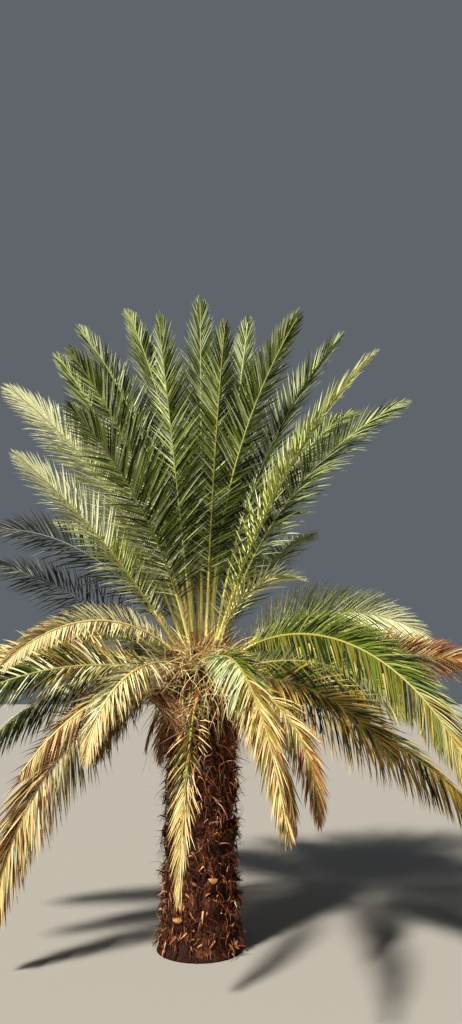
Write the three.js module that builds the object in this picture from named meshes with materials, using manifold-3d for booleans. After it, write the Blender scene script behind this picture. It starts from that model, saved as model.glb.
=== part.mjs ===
// A date palm: one rooted trunk with its leaf bases, and a full crown of feather fronds.
// Millimetres, +Z up, the origin at the middle of the flat cut at ground level.
// Azimuth 0 is +X and 90 is +Y. A lean is counted from upright, so 90 is level and more hangs.
import * as THREE from "three";
import { mergeVertices } from "three/addons/utils/BufferGeometryUtils.js";
import Module from "manifold-3d";

// The trunk: radius at each height, from the root flare to the growing tip
const TRUNK_PROFILE = [
  [0, 395],
  [110, 355],
  [300, 318],
  [700, 298],
  [1300, 290],
  [1800, 276],
  [2080, 258],
  [2230, 238],
];
const TRUNK_SIDES = 20;
const TRUNK_CLEARANCE = 20;
const TRUNK_COLOR = 0x5b3a26;

// Old leaf bases: rows of lips that stand out of the trunk, the columns staggered by half a row
const BOOT_PITCH = 178;
const BOOT_RISE = 0.8;
const BOOT_LIP = 34;
const BOOT_LIP_BETWEEN = 15;
const BOOTS_FROM = 60;
const BOOTS_TO = 1900;

// The growing tip: fronds stand on a cone, the upright ones nearest its top
const CROWN_TOP = 2680;
const CROWN_DROP = 420;
const CROWN_HEART = 45;
const CROWN_REACH = 215;
const OLDEST_LEAN = 100;
const HEART_SINK = 26;
const CROWN_RINGS = [0.95, 0.6, 0.3, 0.08];

// The stalk and rib of a frond, a three-sided bar that is flat on top
const STALK_WIDTH = 42;
const STALK_HEIGHT = 27;
const TIP_WIDTH = 9;
const TIP_HEIGHT = 8;
const SLIMMING = 0.42;
const ROLLED_BY = 0.25;
const BARE_BARS = 3;
const STEPS_IN_BAR = 4;
const SEAT_GAP = 0.3;
const WIDE_BOW = 450;
const SHEATH_LENGTH = 110;
const SHEATH_FLARE = 1.5;

// Leaflets: share of their spacing that they are wide, how far they are raised from the blade's
// plane, and the shares of the leafy stretch between which they have their full length
const LEAFLET_SHARE = 0.6;
const LEAFLET_RAISE = 22;
const LEAFLET_FIRST = 0.5;
const LEAFLET_FULL_FROM = 0.23;
const LEAFLET_FULL_TO = 0.45;
const LEAFLET_LAST = 0.55;
const LEAFLET_WANING = 1.6;
const LEAFLET_CLEARANCE = 1;
const GROUND_CLEARANCE = 30;
const CLEARANCE_STEP = 0.125;

// Shorter or tilted leaflets are tried where the full one would touch something
const TRIES = [
  [1, 0],
  [1, 16],
  [1, -16],
  [0.75, 0],
  [0.75, 24],
  [0.75, -24],
  [0.5, 0],
  [0.5, 30],
  [0.35, 0],
];

// Stumps of cut stalks that still stand on the trunk: azimuth, height, length
const STUMP_HALF_WIDTH = 62;
const STUMP_HEIGHT = 48;
const STUMP_LEAN = 38;
const STUMP_ROOT = 60;
const STUMP_ROOT_SIZE = 1.2;
const STUMP_END_SIZE = 0.8;
const STUMPS = [
  [330, 1650, 150],
  [15, 1300, 120],
  [345, 980, 110],
  [290, 560, 120],
  [210, 1500, 120],
  [170, 900, 110],
  [120, 1400, 130],
  [75, 800, 120],
  [40, 1750, 140],
  [240, 250, 110],
  [130, 400, 120],
];

// Fronds by age. The lean grows by the row's bend towards the tip, as the share of the length
// to this power. Bare is the share of the length with no leaflets, spacing and leaflet are their
// distance and length, angles are those between them and the rib at its foot and its tip, and
// droop is how much they sag there. A row is azimuth, lean at the foot, bend, length, roll, and
// the shares of those angles and of that length that its leaflets have. The rows under fill stand
// evenly between two azimuths, with seeded play.
const TIERS = [
  {
    name: "upright_frond",
    color: 0x6f8a3c,
    power: 1.3,
    bare: 0.2,
    spacing: 172,
    leaflet: 430,
    angles: [62, 26],
    droop: [0, 0],
    rows: [
      [232, 10, 1, 3250],
      [292, 5, 9, 3150],
      [100, 2, 6, 3850],
      [328, 3, 34, 3400, -30],
      [350, 9, 31, 3450, 50],
      [62, 13, 0, 4000, 15],
      [138, 6, 24, 4150, -20],
      [166, 8, 29, 3800, -40],
      [158, 18, 20, 3800, -45],
      [212, 13, 29, 3100, 40],
    ],
    fill: { count: 3, from: 72, to: 128, lean: 22, bend: 18, length: 3400 },
  },
  {
    name: "spreading_frond",
    color: 0x8a9a4a,
    power: 1.3,
    bare: 0.2,
    spacing: 172,
    leaflet: 430,
    angles: [62, 28],
    droop: [0.05, 0.15],
    rows: [
      [311, 25, 35, 3200, 45],
      [2, 17, 46, 3350, 50],
      [40, 19, 40, 3850, 35],
      [230, 20, 40, 2650, 30],
      [188, 20, 34, 3250, -70],
      [206, 34, 20, 2500, -60],
      [165, 33, 59, 2850, -60],
      [153, 56, 19, 2850, -60],
      [331, 17, 84, 1250],
    ],
    fill: { count: 5, from: 45, to: 150, lean: 38, bend: 36, length: 2900 },
  },
  {
    name: "arching_frond",
    color: 0x97a04e,
    power: 1,
    bare: 0.16,
    spacing: 172,
    leaflet: 480,
    angles: [60, 38],
    droop: [0.05, 0.25],
    rows: [
      [222, 45, 89, 2050, -60, 1, 0.5],
      [313, 56, 102, 3200, 60, 0.8, 0.9],
      [338, 78, 70, 1800, 30],
      [20, 46, 73, 2600, 55],
      [8, 74, 26, 2750, 45],
      [180, 66, 60, 2650, -30],
      [352, 65, 74, 1900, 50],
      [200, 72, 58, 2500, -45, 1, 0.9],
    ],
    fill: { count: 5, from: 38, to: 144, lean: 62, bend: 56, length: 2600 },
  },
  {
    name: "hanging_frond",
    color: 0xb9a964,
    power: 0.75,
    bare: 0.14,
    spacing: 165,
    leaflet: 380,
    angles: [52, 22],
    droop: [0.2, 0.85],
    rows: [
      [226, 55, 117, 1550, -35, 1.2, 0.9],
      [204, 90, 88, 2700, -60, 1.4, 1.4],
      [266, 100, 69, 2000, 50, 0.9],
      [284, 60, 91, 2850, 20],
      [304, 83, 88, 1750, 0, 0.6],
      [321, 78, 102, 1750, 30, 1.2],
      [190, 70, 68, 1950, -45, 1, 1.2],
      [345, 90, 44, 2600, 50, 1.3, 1.35],
      [214, 78, 66, 1750, -40],
    ],
    fill: { count: 4, from: 22, to: 164, lean: 82, bend: 74, length: 1400 },
  },
  {
    name: "dead_frond",
    color: 0x8b5a36,
    power: 0.75,
    bare: 0.2,
    spacing: 110,
    leaflet: 210,
    angles: [40, 24],
    droop: [0.8, 0.8],
    rows: [
      [174, 125, 48, 600],
      [350, 108, 66, 900],
    ],
    fill: { count: 1, from: 60, to: 120, lean: 108, bend: 64, length: 900 },
  },
];
const FILL_PLAY = { azimuth: 4, lean: 5, bend: 6, length: 180 };
const SEED = 417;

const UP = new THREE.Vector3(0, 0, 1);
const wasm = await Module();
wasm.setup();

// The same small generator of even numbers in [0, 1) wherever the palm is made
function seeded(seed) {
  let state = seed >>> 0;
  return () => {
    state = (Math.imul(state, 1664525) + 1013904223) >>> 0;
    return state / 4294967296;
  };
}

const radians = THREE.MathUtils.degToRad;
const mix = THREE.MathUtils.lerp;

function trunkRadius(z) {
  for (let i = 1; i < TRUNK_PROFILE.length; i++) {
    const [z0, r0] = TRUNK_PROFILE[i - 1];
    const [z1, r1] = TRUNK_PROFILE[i];
    if (z <= z1) return mix(r0, r1, (z - z0) / (z1 - z0));
  }
  const share = Math.min(Math.max((CROWN_TOP - z) / CROWN_DROP, 0), 1);
  return CROWN_HEART + CROWN_REACH * Math.sqrt(share) - HEART_SINK;
}

// Where a frond of this azimuth and lean leaves the cone of the crown
function footOf(azimuth, lean) {
  const share = Math.min(lean / OLDEST_LEAN, 1);
  const radius = CROWN_HEART + CROWN_REACH * Math.sqrt(share);
  const turn = radians(azimuth);
  return new THREE.Vector3(
    radius * Math.cos(turn),
    radius * Math.sin(turn),
    CROWN_TOP - CROWN_DROP * share,
  );
}

// Along, side and upper directions of a rib that leans this far at this azimuth
function frameOf(azimuth, lean, roll) {
  const turn = radians(azimuth);
  const tilt = radians(lean);
  const outward = new THREE.Vector3(Math.cos(turn), Math.sin(turn), 0);
  const along = outward.clone().multiplyScalar(Math.sin(tilt)).addScaledVector(UP, Math.cos(tilt));
  const level = new THREE.Vector3(-Math.sin(turn), Math.cos(turn), 0);
  const side = level.applyAxisAngle(along, radians(roll));
  return { along, side, upper: along.clone().cross(side) };
}

// One station of the rib: its three corners and its directions
function stationOf(frond, share, point) {
  const lean = frond.lean + frond.bend * share ** frond.power;
  const frame = frameOf(frond.azimuth, lean, frond.roll * Math.min(1, share / ROLLED_BY));
  const slim = share ** SLIMMING;
  const half = mix(STALK_WIDTH, TIP_WIDTH, slim) / 2;
  const height = mix(STALK_HEIGHT, TIP_HEIGHT, slim);
  return {
    ...frame,
    share,
    point,
    left: point.clone().addScaledVector(frame.side, half),
    right: point.clone().addScaledVector(frame.side, -half),
    keel: point.clone().addScaledVector(frame.upper, -height),
  };
}

// The rib's stations: a few on the bare stalk, then two for each pair of leaflets, then the tip
function stationsOf(frond) {
  const pairs = Math.round((frond.length * (1 - frond.bare)) / frond.spacing);
  const pitch = (1 - frond.bare) / pairs;
  const shares = Array.from({ length: BARE_BARS }, (_, i) => (frond.bare * i) / BARE_BARS);
  for (let i = 0; i < pairs; i++) {
    const start = frond.bare + i * pitch;
    shares.push(start, start + pitch * LEAFLET_SHARE);
  }
  shares.push(1);
  const stations = [];
  let point = footOf(frond.azimuth, frond.lean);
  let last = 0;
  for (const share of shares) {
    for (let i = 0; i < STEPS_IN_BAR; i++) {
      const middle = mix(last, share, (i + 0.5) / STEPS_IN_BAR);
      const lean = frond.lean + frond.bend * middle ** frond.power;
      const { along } = frameOf(frond.azimuth, lean, 0);
      const step = ((share - last) * frond.length) / STEPS_IN_BAR;
      point = point.clone().addScaledVector(along, step);
    }
    stations.push(stationOf(frond, share, point));
    last = share;
  }
  return { stations, pairs };
}

// A convex piece, with the directions along which it may lie apart from another one
function convex(points, faces, edges) {
  const normals = faces.map(([a, b, c]) =>
    points[b].clone().sub(points[a]).cross(points[c].clone().sub(points[a])).normalize(),
  );
  const lines = edges.map(([a, b]) => points[b].clone().sub(points[a]).normalize());
  return { points, normals, lines, box: new THREE.Box3().setFromPoints(points) };
}

function spanAlong(points, axis) {
  let low = Infinity;
  let high = -Infinity;
  for (const point of points) {
    const along = point.dot(axis);
    low = Math.min(low, along);
    high = Math.max(high, along);
  }
  return [low, high];
}

function apartAlong(a, b, axis, clearance) {
  const [lowA, highA] = spanAlong(a.points, axis);
  const [lowB, highB] = spanAlong(b.points, axis);
  return lowB - highA >= clearance || lowA - highB >= clearance;
}

// True when some direction shows two convex pieces at least this far apart
function apart(a, b, clearance) {
  const nearBox = a.box.clone().expandByScalar(clearance);
  if (!nearBox.intersectsBox(b.box)) return true;
  for (const axis of [...a.normals, ...b.normals])
    if (apartAlong(a, b, axis, clearance)) return true;
  const axis = new THREE.Vector3();
  for (const lineA of a.lines)
    for (const lineB of b.lines) {
      axis.crossVectors(lineA, lineB);
      if (axis.lengthSq() < 1e-6) continue;
      if (apartAlong(a, b, axis.normalize(), clearance)) return true;
    }
  return false;
}

// The convex pieces of a bar between two three-cornered sections, and of a pointed leaflet
const BAR_FACES = [
  [0, 2, 1],
  [0, 1, 3],
  [0, 3, 2],
  [1, 2, 4],
];
const BAR_EDGES = [
  [0, 1],
  [1, 2],
  [2, 0],
  [0, 3],
  [1, 4],
  [2, 5],
];
const POINTED_FACES = [
  [0, 1, 4],
  [1, 2, 4],
  [2, 3, 4],
  [3, 0, 4],
  [0, 1, 2],
];
const POINTED_EDGES = [
  [0, 1],
  [1, 2],
  [0, 4],
  [1, 4],
  [2, 4],
  [3, 4],
];

function barPiece(from, to) {
  const points = [from.left, from.keel, from.right, to.left, to.keel, to.right];
  return convex(points, BAR_FACES, BAR_EDGES);
}

// The leaf base that a frond leaves the trunk from, ending just short of the frond's foot
function sheathOf(stations) {
  const foot = stations[0];
  const section = (back, flare) => {
    const centre = foot.point.clone().addScaledVector(foot.along, -back);
    const corner = (key) =>
      foot[key].clone().sub(foot.point).multiplyScalar(flare).add(centre);
    return { left: corner("left"), right: corner("right"), keel: corner("keel") };
  };
  return [section(SHEATH_LENGTH, SHEATH_FLARE), section(SEAT_GAP, 1)];
}

// A cut stalk that stands out of the trunk and leans upwards: its root and its cut end
function stumpOf([azimuth, height, length]) {
  const frame = frameOf(azimuth, STUMP_LEAN, 0);
  const radius = trunkRadius(height);
  const turn = radians(azimuth);
  const centre = new THREE.Vector3(radius * Math.cos(turn), radius * Math.sin(turn), height);
  const section = (along, size) => {
    const point = centre.clone().addScaledVector(frame.along, along);
    return {
      left: point.clone().addScaledVector(frame.side, STUMP_HALF_WIDTH * size),
      right: point.clone().addScaledVector(frame.side, -STUMP_HALF_WIDTH * size),
      keel: point.clone().addScaledVector(frame.upper, -STUMP_HEIGHT * size),
    };
  };
  return [section(-STUMP_ROOT, STUMP_ROOT_SIZE), section(length, STUMP_END_SIZE)];
}

function listFronds() {
  const random = seeded(SEED);
  const play = (size) => (2 * random() - 1) * size;
  const fronds = [];
  for (const tier of TIERS) {
    const rows = tier.rows.map((row) => [...row]);
    const { fill } = tier;
    for (let i = 0; i < fill.count; i++)
      rows.push([
        mix(fill.from, fill.to, (i + 0.5) / fill.count) + play(FILL_PLAY.azimuth),
        fill.lean + play(FILL_PLAY.lean),
        fill.bend + play(FILL_PLAY.bend),
        fill.length + play(FILL_PLAY.length),
      ]);
    rows.forEach(([azimuth, lean, bend, length, roll = 0, spread = 1, size = 1], i) => {
      const name = `${tier.name}_${i + 1}`;
      const frond = { ...tier, name, azimuth, lean, bend, length, roll, spread, size };
      const { stations, pairs } = stationsOf(frond);
      const bars = stations.slice(1).map((to, k) => barPiece(stations[k], to));
      const sheath = sheathOf(stations);
      fronds.push({ ...frond, stations, pairs, bars, sheath, leaflets: new Map() });
    });
  }
  return fronds;
}

// The four corners of one side of the rib, in the order that faces outwards
function ribSide(from, to, hand) {
  return hand > 0
    ? [from.left, to.left, to.keel, from.keel]
    : [from.right, from.keel, to.keel, to.right];
}

function leafletLength(frond, along) {
  const rise = mix(LEAFLET_FIRST, 1, Math.min(1, along / LEAFLET_FULL_FROM));
  const beyond = Math.max(0, (along - LEAFLET_FULL_TO) / (1 - LEAFLET_FULL_TO));
  return frond.leaflet * frond.size * rise * mix(1, LEAFLET_LAST, beyond ** LEAFLET_WANING);
}

function leafletPiece(frond, pair, hand, reach, tilt) {
  const from = frond.stations[BARE_BARS + 2 * pair];
  const foot = ribSide(from, frond.stations[BARE_BARS + 2 * pair + 1], hand);
  const along = (pair + 0.5) / frond.pairs;
  const angle = radians(mix(...frond.angles, along) * frond.spread);
  const raise = radians(LEAFLET_RAISE + tilt);
  const across = from.side
    .clone()
    .multiplyScalar(hand * Math.cos(raise))
    .addScaledVector(from.upper, Math.sin(raise));
  const direction = from.along
    .clone()
    .multiplyScalar(Math.cos(angle))
    .addScaledVector(across, Math.sin(angle))
    .addScaledVector(UP, -mix(...frond.droop, along))
    .normalize();
  const middle = new THREE.Vector3();
  for (const corner of foot) middle.addScaledVector(corner, 0.25);
  const tip = middle.addScaledVector(direction, leafletLength(frond, along) * reach);
  return convex([...foot, tip], POINTED_FACES, POINTED_EDGES);
}

// Clear of the trunk and the ground, judged at steps from the leaflet's foot to its tip
function clearOfTrunk(piece) {
  const tip = piece.points[4];
  for (const corner of piece.points)
    for (let t = 0; t <= 1; t += CLEARANCE_STEP) {
      const point = corner.clone().lerp(tip, t);
      if (point.z < GROUND_CLEARANCE) return false;
      const lip = point.z < BOOTS_TO + 2 * BOOT_PITCH ? BOOT_LIP : 0;
      const limit = trunkRadius(point.z) + lip + TRUNK_CLEARANCE;
      if (point.z < CROWN_TOP && Math.hypot(point.x, point.y) < limit) return false;
    }
  return true;
}

// Ribs stand where their rows say, and must be clear of each other and of all the leaf bases
function checkRibs(fronds) {
  const clashes = [];
  for (const a of fronds)
    for (const b of fronds) {
      if (a === b) continue;
      const base = barPiece(...a.sheath);
      if (b.bars.some((bar) => !apart(bar, base, LEAFLET_CLEARANCE)))
        clashes.push(`${b.name} in the base of ${a.name}`);
      if (a.name < b.name && a.bars.some((x) => b.bars.some((y) => !apart(x, y, LEAFLET_CLEARANCE))))
        clashes.push(`${a.name} on ${b.name}`);
    }
  if (clashes.length) throw new Error(`ribs touch: ${clashes.join(", ")}`);
}

// Leaflets are set from the tips inwards, a pair at a time round the whole crown
function setLeaflets(fronds) {
  const placed = STUMPS.map((stump) => ({ piece: barPiece(...stumpOf(stump)) }));
  for (const frond of fronds) {
    frond.bars.forEach((piece, k) => placed.push({ piece, frond, bar: k }));
    placed.push({ piece: barPiece(...frond.sheath), frond, bar: -1 });
  }
  const most = Math.max(...fronds.map((frond) => frond.pairs));
  for (let fromTip = 0; fromTip < most; fromTip++)
    for (const frond of fronds)
      for (const hand of [1, -1]) {
        const pair = frond.pairs - 1 - fromTip;
        if (pair < 0) continue;
        const ownBar = BARE_BARS + 2 * pair;
        const joined = (other) => other.pair === pair || Math.abs(other.bar - ownBar) <= 1;
        const others = placed.filter((other) => other.frond !== frond || !joined(other));
        for (const [reach, tilt] of TRIES) {
          const piece = leafletPiece(frond, pair, hand, reach, tilt);
          if (!clearOfTrunk(piece)) continue;
          if (!others.every((other) => apart(piece, other.piece, LEAFLET_CLEARANCE))) continue;
          frond.leaflets.set(hand * (pair + 1), piece.points[4]);
          placed.push({ piece, frond, pair });
          break;
        }
      }
}

// A closed body from corners that its faces share
class Body {
  constructor() {
    this.positions = [];
    this.indices = [];
    this.known = new Map();
  }
  corner(point) {
    if (!this.known.has(point)) {
      this.known.set(point, this.known.size);
      this.positions.push(point.x, point.y, point.z);
    }
    return this.known.get(point);
  }
  face(a, b, c) {
    this.indices.push(this.corner(a), this.corner(b), this.corner(c));
  }
  quad(a, b, c, d) {
    this.face(a, b, c);
    this.face(a, c, d);
  }
  pointed(corners, tip) {
    corners.forEach((corner, i) => this.face(corner, corners[(i + 1) % corners.length], tip));
  }
  geometry() {
    return new THREE.BufferGeometry()
      .setAttribute("position", new THREE.Float32BufferAttribute(this.positions, 3))
      .setIndex(this.indices);
  }
}

function movedAlong(station, distance) {
  const moved = { ...station };
  for (const key of ["left", "right", "keel"])
    moved[key] = station[key].clone().addScaledVector(station.along, distance);
  return moved;
}

// The stretch of a frond between two of its stations, up to its pointed tip or to a flat end
function frondGeometry(frond, first, last) {
  const body = new Body();
  const stations = frond.stations.slice(first, last + 1);
  const isTip = last === frond.stations.length - 1;
  const tip = isTip ? stations.pop().point : null;
  if (first > 0) stations[0] = movedAlong(stations[0], SEAT_GAP);
  body.face(stations[0].left, stations[0].keel, stations[0].right);
  for (let i = 0; i < stations.length - 1; i++) {
    const from = stations[i];
    const to = stations[i + 1];
    body.quad(from.left, from.right, to.right, to.left);
    const pair = (first + i - BARE_BARS) / 2;
    for (const hand of [1, -1]) {
      const side = ribSide(from, to, hand);
      const leafTip = frond.leaflets.get(hand * (pair + 1));
      if (leafTip) body.pointed(side, leafTip);
      else body.quad(...side);
    }
  }
  const end = stations[stations.length - 1];
  if (isTip) body.pointed([end.left, end.right, end.keel], tip);
  else body.face(end.left, end.right, end.keel);
  return body.geometry();
}

// One body for a frond, or two where it bends round a wide gap
function frondBodies(frond) {
  const last = frond.stations.length - 1;
  const bow = (frond.length * radians(frond.bend)) / 8;
  const ends = bow > WIDE_BOW ? [0, BARE_BARS + 2 * Math.round(frond.pairs / 2), last] : [0, last];
  return ends.slice(1).map((end, i) => ({
    name: i === 0 ? frond.name : `${frond.name}_outer`,
    geometry: frondGeometry(frond, ends[i], end),
  }));
}

function solidOf(geometry) {
  const bare = new THREE.BufferGeometry()
    .setAttribute("position", geometry.getAttribute("position"))
    .setIndex(geometry.index);
  const merged = mergeVertices(bare, 1e-3);
  const mesh = new wasm.Mesh({
    numProp: 3,
    vertProperties: merged.attributes.position.array,
    triVerts: new Uint32Array(merged.index.array),
  });
  return new wasm.Manifold(mesh);
}

function geometryOf(solid) {
  const { vertProperties, triVerts, numProp, numVert } = solid.getMesh();
  const positions = [];
  for (let i = 0; i < numVert; i++)
    positions.push(...vertProperties.subarray(i * numProp, i * numProp + 3));
  return new THREE.BufferGeometry()
    .setAttribute("position", new THREE.Float32BufferAttribute(positions, 3))
    .setIndex([...triVerts]);
}

// A three-cornered bar between two sections, closed at both ends
function barGeometry(from, to) {
  const body = new Body();
  body.face(from.left, from.keel, from.right);
  body.quad(from.left, from.right, to.right, to.left);
  body.quad(from.left, to.left, to.keel, from.keel);
  body.quad(from.right, from.keel, to.keel, to.right);
  body.face(to.left, to.right, to.keel);
  return body.geometry();
}

// The trunk's shaft: rings of corners, with the lips of old leaf bases in staggered rows
function shaftGeometry() {
  const body = new Body();
  const ringAt = (z, lip, stagger) =>
    Array.from({ length: TRUNK_SIDES }, (_, i) => {
      const turn = (i / TRUNK_SIDES) * 2 * Math.PI;
      const shifted = z + (Math.floor(i / 2) % 2 ? stagger : 0);
      const radius = trunkRadius(shifted) + (i % 2 ? Math.min(lip, BOOT_LIP_BETWEEN) : lip);
      return new THREE.Vector3(radius * Math.cos(turn), radius * Math.sin(turn), shifted);
    });
  const rings = [ringAt(0, 0, 0)];
  for (let z = BOOTS_FROM; z < BOOTS_TO; z += BOOT_PITCH) {
    rings.push(ringAt(z, 0, BOOT_PITCH / 2));
    rings.push(ringAt(z + BOOT_PITCH * BOOT_RISE, BOOT_LIP, BOOT_PITCH / 2));
  }
  for (const share of CROWN_RINGS) rings.push(ringAt(CROWN_TOP - CROWN_DROP * share, 0, 0));
  const foot = new THREE.Vector3(0, 0, 0);
  const top = new THREE.Vector3(0, 0, CROWN_TOP - CROWN_HEART);
  for (let i = 0; i < TRUNK_SIDES; i++) {
    const j = (i + 1) % TRUNK_SIDES;
    body.face(foot, rings[0][j], rings[0][i]);
    for (let k = 1; k < rings.length; k++)
      body.quad(rings[k - 1][i], rings[k - 1][j], rings[k][j], rings[k][i]);
    const last = rings[rings.length - 1];
    body.face(last[i], last[j], top);
  }
  return body.geometry();
}

function trunkGeometry(fronds) {
  let solid = solidOf(shaftGeometry());
  for (const frond of fronds) solid = solid.add(solidOf(barGeometry(...frond.sheath)));
  for (const stump of STUMPS) solid = solid.add(solidOf(barGeometry(...stumpOf(stump))));
  return geometryOf(solid);
}

function namedMesh(name, geometry, color) {
  const material = new THREE.MeshStandardMaterial({ color, roughness: 0.8, metalness: 0 });
  const mesh = new THREE.Mesh(geometry, material);
  mesh.name = name;
  return mesh;
}

const fronds = listFronds();
checkRibs(fronds);
setLeaflets(fronds);

const palm = new THREE.Group();
palm.add(namedMesh("trunk", trunkGeometry(fronds), TRUNK_COLOR));
for (const frond of fronds)
  for (const { name, geometry } of frondBodies(frond)) palm.add(namedMesh(name, geometry, frond.color));

export default palm;
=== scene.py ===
# The looks of a date palm: leaflets, ribs and spines on every frond, over a trunk of old leaf bases.
# Metres and degrees, +Z up. Azimuth 0 is +X and 90 is +Y. A lean is counted from upright, so 90 is
# level. A pair of numbers is a range: of even draws, or from the first of a row to its last.
import math
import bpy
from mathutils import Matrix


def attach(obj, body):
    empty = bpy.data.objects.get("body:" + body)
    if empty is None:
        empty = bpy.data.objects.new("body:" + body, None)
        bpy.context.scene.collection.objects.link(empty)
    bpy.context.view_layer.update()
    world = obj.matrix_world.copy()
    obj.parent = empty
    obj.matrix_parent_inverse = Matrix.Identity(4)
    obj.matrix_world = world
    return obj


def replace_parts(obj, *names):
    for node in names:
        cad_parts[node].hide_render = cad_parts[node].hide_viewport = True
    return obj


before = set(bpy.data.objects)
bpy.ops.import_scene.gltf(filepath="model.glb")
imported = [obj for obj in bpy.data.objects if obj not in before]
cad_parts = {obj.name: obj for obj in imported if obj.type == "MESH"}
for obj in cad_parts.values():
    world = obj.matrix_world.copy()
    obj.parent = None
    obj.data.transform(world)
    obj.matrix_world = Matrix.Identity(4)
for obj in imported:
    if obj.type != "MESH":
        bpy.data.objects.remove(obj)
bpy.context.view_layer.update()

from types import SimpleNamespace

import bpy
import numpy as np

SEED = 417
UP = np.array([0.0, 0.0, 1.0])

# The trunk, its old leaf bases, called boots, and its growing tip, by the same rule as the solids.
# Above these heights the tip lies HEART_SINK inside the cone that the fronds leave from.
TRUNK_HEIGHTS = [0, 0.11, 0.3, 0.7, 1.3, 1.8, 2.08, 2.23]
TRUNK_RADII = [0.395, 0.355, 0.318, 0.298, 0.29, 0.276, 0.258, 0.238]
BOOT_COLUMNS = 10
BOOT_PITCH = 0.178
BOOT_LIP = 0.034
BOOTS_MISSING = 0.12
BOOTS_FROM = 0.06
BOOTS_TO = 1.9
CROWN_TOP = 2.68
CROWN_DROP = 0.42
CROWN_HEART = 0.045
CROWN_REACH = 0.215
OLDEST_LEAN = 100
HEART_SINK = 0.026

# The shaft under the leaf bases, fully rough from rough_by up. A row of waves is the size of two
# that multiply, and for either its count round the trunk, its turn with height and its start.
SHAFT = SimpleNamespace(columns=120, rows=190, sink=0.006, relief=0.006, rough_by=0.1, thinnest=0.01)
SHAFT_WAVES = [
    (1, (7, 11, 0), (5, -17, 1.3)),
    (0.6, (23, 31, 0.7), (19, -41, 0)),
    (0.4, (61, 13, 0), (53, 71, 2.1)),
]

# How the leaf bases leave their even pattern: beyond is how far above the solids' rows they go on,
# and cut is the share with a pale top
BOOT_PLAY = SimpleNamespace(
    beyond=0.2, lowest=0.005, z=0.04, turn=8, width=(0.85, 1.4), height=(0.8, 1.35), lip=(0.5, 1.6),
    cut=0.2)

# The form of one leaf base: askew is in radians, swelling says how soon it is fully thick, and
# inner is the edge behind its top
BOOT_FORM = SimpleNamespace(
    columns=9, rows=8, lowest=0.004, rounded=0.16, ragged=0.16, top_width=0.56, narrowing=0.8, askew=0.14,
    lip_power=1.25, less_at_side=0.5, lopsided=0.5, groove=0.0035, grooves=13, groove_start=6, grain=0.0016,
    thick=0.012, swelling=4, inner=0.02, inner_drop=0.012, inner_drop_of_lip=0.2)

# Stumps of cut stalks that still stand on the trunk: azimuth, height, length
STUMP_HALF_WIDTH = 0.062
STUMP_HEIGHT = 0.048
STUMP_LEAN = 38
STUMPS = [
    (330, 1.65, 0.15), (15, 1.3, 0.12), (345, 0.98, 0.11), (290, 0.56, 0.12), (210, 1.5, 0.12),
    (170, 0.9, 0.11), (120, 1.4, 0.13), (75, 0.8, 0.12), (40, 1.75, 0.14), (240, 0.25, 0.11),
    (130, 0.4, 0.12),
]

# The form of stumps and stubs, from foot to end: flat is the upper side's height, to the lower's
STUMP_FORM = SimpleNamespace(
    sections=6, sunk=0.02, root=-0.15, sizes=(1.15, 0.75), size_play=(0.94, 1.06), flat=0.25, ragged=0.018)

# Short dry stubs that fill the crown's base between the fronds, from the lowest to the highest
STUBS = SimpleNamespace(
    count=70, turn=137.5, z=(1.96, 2.62), lean=(50, 12), lean_play=8, length=(0.12, 0.17),
    length_play=(0.6, 1.5), half_width=(0.05, 0.016), flatness=0.7,
    colours=["boot", "rib_brown", "foot_red", "stalk_tan"], low_colours=3,
    end_colours=["boot", "leaf_brown", "rib_brown", "rib_straw"])

# The stalk and rib of a frond, a little slimmer at the foot than in the solids. Slimming is a power
# of the share of its length, and by ROLLED_BY of that it has all its roll.
RIB_WIDTHS = (0.036, 0.009)
RIB_HEIGHTS = (0.027, 0.008)
SLIMMING = 0.42
ROLLED_BY = 0.25
RIB_STEPS = 160
RIB_STATIONS = 40
RIB_SIDES = 8
RIB_ENDS = (0.012, 0.995)
RIB_CROWDING = 1.2
RIB_FLAT = 0.12

# Its foot, from the youngest frond to the oldest: how much wider it is, and how far it is red and
# then tan. The stalk's own colour ends a little past the first leaflets.
FOOT_FLARES = (1.5, 2.8)
FOOT_LENGTH = 0.3
RED_FOOT = (0.03, 0.15)
RED_PLAY = (0.1, 2.2)
TAN_FOOT = (0.02, 0.4)
TAN_PLAY = (0.5, 1)
STALK_PAST_BARE = 1.15

# Spines on the stalk, from start on: their angle to it and their lift above the frond's plane
SPINES = SimpleNamespace(
    start=0.22, place=0.004, size=(0.7, 1.3), angle=(28, 52), lift=(0, 45), sunk=0.004, thick=0.0022,
    thickening=0.014, thickest=0.0045)

# Leaflets: the solids' rule, carried to the real spacing and width. They crowd towards the tip,
# stand up from the frond's plane by RAISE and the ranks in turn, and grow and wane along the row.
CROWDING = 0.3
RAISE = 22
RANKS = [22, -12, 8, -22]
RANKS_FLATTEN = 0.5
LEAFLET_FIRST = 0.5
LEAFLET_FULL_FROM = 0.23
LEAFLET_FULL_TO = 0.45
LEAFLET_LAST = 0.55
LEAFLET_WANING = 1.6

# No leaflet reaches farther forward than this share of the way to the frond's tip and an overhang,
# or LEAST_FORWARD of its length if that is more. From CLOSES_FROM on they close in on the rib.
POINTED = 0.62
OVERHANG = 0.1
LEAST_FORWARD = 0.2
CLOSES_FROM = 0.72
CLOSES_BY = 0.55

# Where leaflets leave the rib, as shares of its half width and height, how narrow a short one gets,
# and how far they keep off the trunk and the ground
SEAT_ACROSS = 0.8
SEAT_BELOW = 0.3
NARROWEST = 0.55
TRUNK_CLEARANCE = 0.02
GROUND_CLEARANCE = 0.02

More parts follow.
